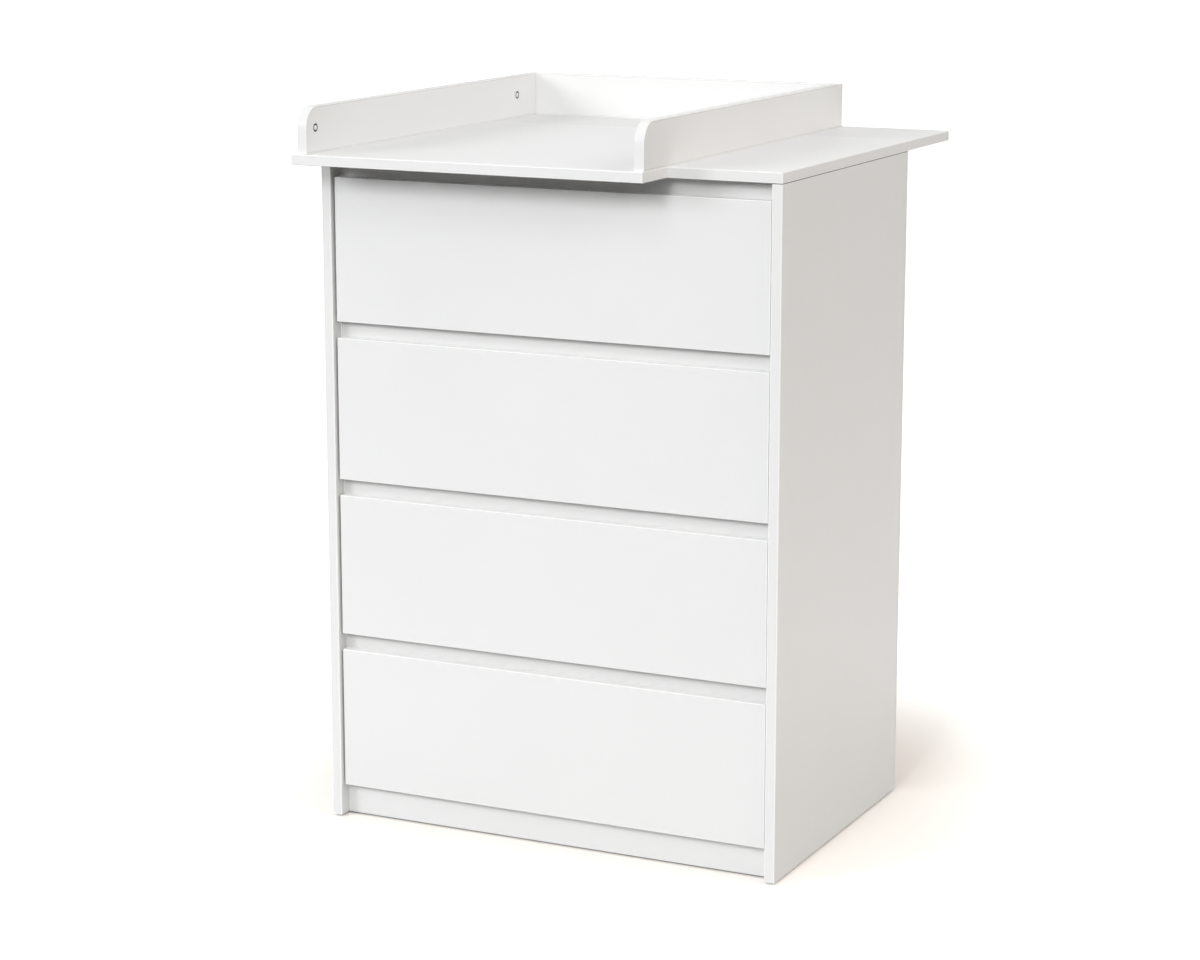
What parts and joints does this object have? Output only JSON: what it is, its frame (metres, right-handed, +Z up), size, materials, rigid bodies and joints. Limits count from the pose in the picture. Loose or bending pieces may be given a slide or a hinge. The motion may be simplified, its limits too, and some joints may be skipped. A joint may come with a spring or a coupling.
{
  "type": "changing dresser",
  "caption": "White free-standing chest of handle-less drawers with an overhanging changing tray between low rails on top, and drawers on roller runners.",
  "frame": {"origin": "on the floor, at the centre of the footprint of the whole object, tray overhangs included", "axes": "+Z up, drawers open towards -Y, +X to the right as seen from the front; the front notch of the top is at +X"},
  "size_m": [0.703, 0.725, 1.043],
  "materials": {
    "white_board": "white melamine-faced board with white edging, satin",
    "white_front": "white melamine-faced drawer front, satin",
    "drawer_box_board": "white foil-wrapped board",
    "hardboard": "white-faced hardboard",
    "white_runner": "white powder-coated steel",
    "roller_plastic": "white nylon",
    "zinc_cam": "raw zinc casting",
    "bright_steel": "zinc-plated steel",
    "beech_dowel": "plain beech",
    "white_cap": "white moulded cap",
    "glide_plastic": "pale nylon glide"
  },
  "bodies": {
    "carcass": {"side_panel_left": "white_board", "side_panel_right": "white_board", "top_board": "white_board", "rear_extension_board": "white_board", "tray_rail_left": "white_board", "tray_rail_right": "white_board", "tray_rail_back": "white_board", "crossrail_1": "white_board", "cam_bolts": "bright_steel", "cam_locks": "zinc_cam", "dowels": "beech_dowel", "crossrail_2": "white_board", "crossrail_3": "white_board", "crossrail_4": "white_board", "plinth_board": "white_board", "rear_stretcher_top": "white_board", "rear_stretcher_bottom": "white_board", "back_panel": "hardboard", "back_panel_nails": "bright_steel", "cam_caps": "white_cap", "floor_glides": "glide_plastic", "cabinet_runners": "white_runner", "runner_screws": "bright_steel"},
    "drawer_1": {"drawer_front_1": "white_front", "drawer_side_left_1": "drawer_box_board", "drawer_side_right_1": "drawer_box_board", "drawer_back_1": "drawer_box_board", "drawer_bottom_1": "hardboard", "drawer_runners_1": "white_runner", "drawer_screws_1": "bright_steel"},
    "front_rollers_1": {"cabinet_rollers_1": "roller_plastic"},
    "rear_rollers_1": {"drawer_rollers_1": "roller_plastic"},
    "drawer_2": {"drawer_front_2": "white_front", "drawer_side_left_2": "drawer_box_board", "drawer_side_right_2": "drawer_box_board", "drawer_back_2": "drawer_box_board", "drawer_bottom_2": "hardboard", "drawer_runners_2": "white_runner", "drawer_screws_2": "bright_steel"},
    "front_rollers_2": {"cabinet_rollers_2": "roller_plastic"},
    "rear_rollers_2": {"drawer_rollers_2": "roller_plastic"},
    "drawer_3": {"drawer_front_3": "white_front", "drawer_side_left_3": "drawer_box_board", "drawer_side_right_3": "drawer_box_board", "drawer_back_3": "drawer_box_board", "drawer_bottom_3": "hardboard", "drawer_runners_3": "white_runner", "drawer_screws_3": "bright_steel"},
    "front_rollers_3": {"cabinet_rollers_3": "roller_plastic"},
    "rear_rollers_3": {"drawer_rollers_3": "roller_plastic"},
    "drawer_4": {"drawer_front_4": "white_front", "drawer_side_left_4": "drawer_box_board", "drawer_side_right_4": "drawer_box_board", "drawer_back_4": "drawer_box_board", "drawer_bottom_4": "hardboard", "drawer_runners_4": "white_runner", "drawer_screws_4": "bright_steel"},
    "front_rollers_4": {"cabinet_rollers_4": "roller_plastic"},
    "rear_rollers_4": {"drawer_rollers_4": "roller_plastic"}
  },
  "joints": [
    {"name": "drawer_1_slide", "type": "slide", "parent": "carcass", "child": "drawer_1", "axis": [0, -1, 0], "range_m": [0, 0.3]},
    {"name": "front_rollers_1_turn", "type": "hinge", "parent": "carcass", "child": "front_rollers_1", "pos_m": [0.0015, -0.2505, 0.7672], "axis": [1, 0, 0], "range_deg": [0, 1810]},
    {"name": "rear_rollers_1_turn", "type": "hinge", "parent": "drawer_1", "child": "rear_rollers_1", "pos_m": [0.0015, 0.1215, 0.7655], "axis": [1, 0, 0], "range_deg": [0, 1810]},
    {"name": "drawer_2_slide", "type": "slide", "parent": "carcass", "child": "drawer_2", "axis": [0, -1, 0], "range_m": [0, 0.3]},
    {"name": "front_rollers_2_turn", "type": "hinge", "parent": "carcass", "child": "front_rollers_2", "pos_m": [0.0015, -0.2505, 0.5387], "axis": [1, 0, 0], "range_deg": [0, 1810]},
    {"name": "rear_rollers_2_turn", "type": "hinge", "parent": "drawer_2", "child": "rear_rollers_2", "pos_m": [0.0015, 0.1215, 0.537], "axis": [1, 0, 0], "range_deg": [0, 1810]},
    {"name": "drawer_3_slide", "type": "slide", "parent": "carcass", "child": "drawer_3", "axis": [0, -1, 0], "range_m": [0, 0.3]},
    {"name": "front_rollers_3_turn", "type": "hinge", "parent": "carcass", "child": "front_rollers_3", "pos_m": [0.0015, -0.2505, 0.3102], "axis": [1, 0, 0], "range_deg": [0, 1810]},
    {"name": "rear_rollers_3_turn", "type": "hinge", "parent": "drawer_3", "child": "rear_rollers_3", "pos_m": [0.0015, 0.1215, 0.3085], "axis": [1, 0, 0], "range_deg": [0, 1810]},
    {"name": "drawer_4_slide", "type": "slide", "parent": "carcass", "child": "drawer_4", "axis": [0, -1, 0], "range_m": [0, 0.3]},
    {"name": "front_rollers_4_turn", "type": "hinge", "parent": "carcass", "child": "front_rollers_4", "pos_m": [0.0015, -0.2505, 0.0817], "axis": [1, 0, 0], "range_deg": [0, 1810]},
    {"name": "rear_rollers_4_turn", "type": "hinge", "parent": "drawer_4", "child": "rear_rollers_4", "pos_m": [0.0015, 0.1215, 0.08], "axis": [1, 0, 0], "range_deg": [0, 1810]}
  ],
  "couplings": [
    {"joint": "front_rollers_1_turn", "follows": "drawer_1_slide", "rad_per_m": 105.26},
    {"joint": "rear_rollers_1_turn", "follows": "drawer_1_slide", "rad_per_m": 105.26},
    {"joint": "front_rollers_2_turn", "follows": "drawer_2_slide", "rad_per_m": 105.26},
    {"joint": "rear_rollers_2_turn", "follows": "drawer_2_slide", "rad_per_m": 105.26},
    {"joint": "front_rollers_3_turn", "follows": "drawer_3_slide", "rad_per_m": 105.26},
    {"joint": "rear_rollers_3_turn", "follows": "drawer_3_slide", "rad_per_m": 105.26},
    {"joint": "front_rollers_4_turn", "follows": "drawer_4_slide", "rad_per_m": 105.26},
    {"joint": "rear_rollers_4_turn", "follows": "drawer_4_slide", "rad_per_m": 105.26}
  ]
}
